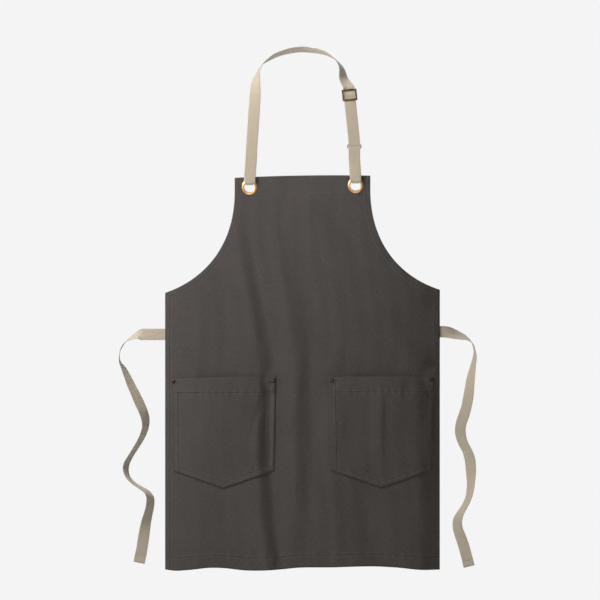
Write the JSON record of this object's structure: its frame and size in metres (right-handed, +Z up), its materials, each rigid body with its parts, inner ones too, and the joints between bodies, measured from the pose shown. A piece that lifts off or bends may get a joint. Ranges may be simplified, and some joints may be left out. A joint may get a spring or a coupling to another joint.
{
  "type": "bib apron",
  "caption": "Cotton canvas bib apron hanging by its adjustable webbing neck strap, with patch pockets, eyelets, a slider, a ring, rivets and waist ties.",
  "frame": {"origin": "the highest point of the neck strap's inside, where whatever holds the apron up carries it", "axes": "+Z up, -Y out of the apron's front, +X to the right of someone looking at the front"},
  "size_m": [0.7822, 0.0935, 1.1428],
  "materials": {
    "canvas": "matte charcoal plain-weave cotton canvas",
    "webbing": "natural herringbone cotton webbing",
    "eyelet_brass": "bright polished brass",
    "antique_brass": "dark antiqued brass"
  },
  "bodies": {
    "neck_loop": {"neck_strap": "webbing", "short_strap": "webbing", "strap_return": "webbing", "strap_ring": "antique_brass"},
    "slider": {"strap_slider": "antique_brass", "strap_end_loop": "webbing"},
    "apron": {"apron_panel": "canvas", "bib_facing": "canvas", "left_armhole_tape": "canvas", "right_armhole_tape": "canvas", "left_pocket": "canvas", "right_pocket": "canvas", "left_tie_end": "webbing", "right_tie_end": "webbing", "left_eyelet": "eyelet_brass", "left_eyelet_washer": "eyelet_brass", "right_eyelet": "eyelet_brass", "right_eyelet_washer": "eyelet_brass", "left_inner_rivet_cap": "antique_brass", "left_inner_rivet_back": "antique_brass", "left_outer_rivet_cap": "antique_brass", "left_outer_rivet_back": "antique_brass", "right_inner_rivet_cap": "antique_brass", "right_inner_rivet_back": "antique_brass", "right_outer_rivet_cap": "antique_brass", "right_outer_rivet_back": "antique_brass"},
    "left_waist_tie": {"left_tie": "webbing"},
    "right_waist_tie": {"right_tie": "webbing"}
  },
  "joints": [
    {"name": "bib_swing", "type": "hinge", "parent": "neck_loop", "child": "apron", "pos_m": [0, -0.07097, -0.284], "axis": [0.9999, 0, 0.0156], "range_deg": [-15, 15]},
    {"name": "slider_slide", "type": "slide", "parent": "neck_loop", "child": "slider", "axis": [0.0994, -0.0546, -0.9936], "range_m": [0, 0.07], "deforming": ["strap_return"]},
    {"name": "left_tie_swing", "type": "hinge", "parent": "apron", "child": "left_waist_tie", "pos_m": [-0.302, -0.04565, -0.6175], "axis": [0, 0, 1], "range_deg": [-60, 60], "stiffness_Nm_per_rad": 0.002},
    {"name": "right_tie_swing", "type": "hinge", "parent": "apron", "child": "right_waist_tie", "pos_m": [0.302, -0.04565, -0.6099], "axis": [0, 0, 1], "range_deg": [-60, 60], "stiffness_Nm_per_rad": 0.002}
  ]
}
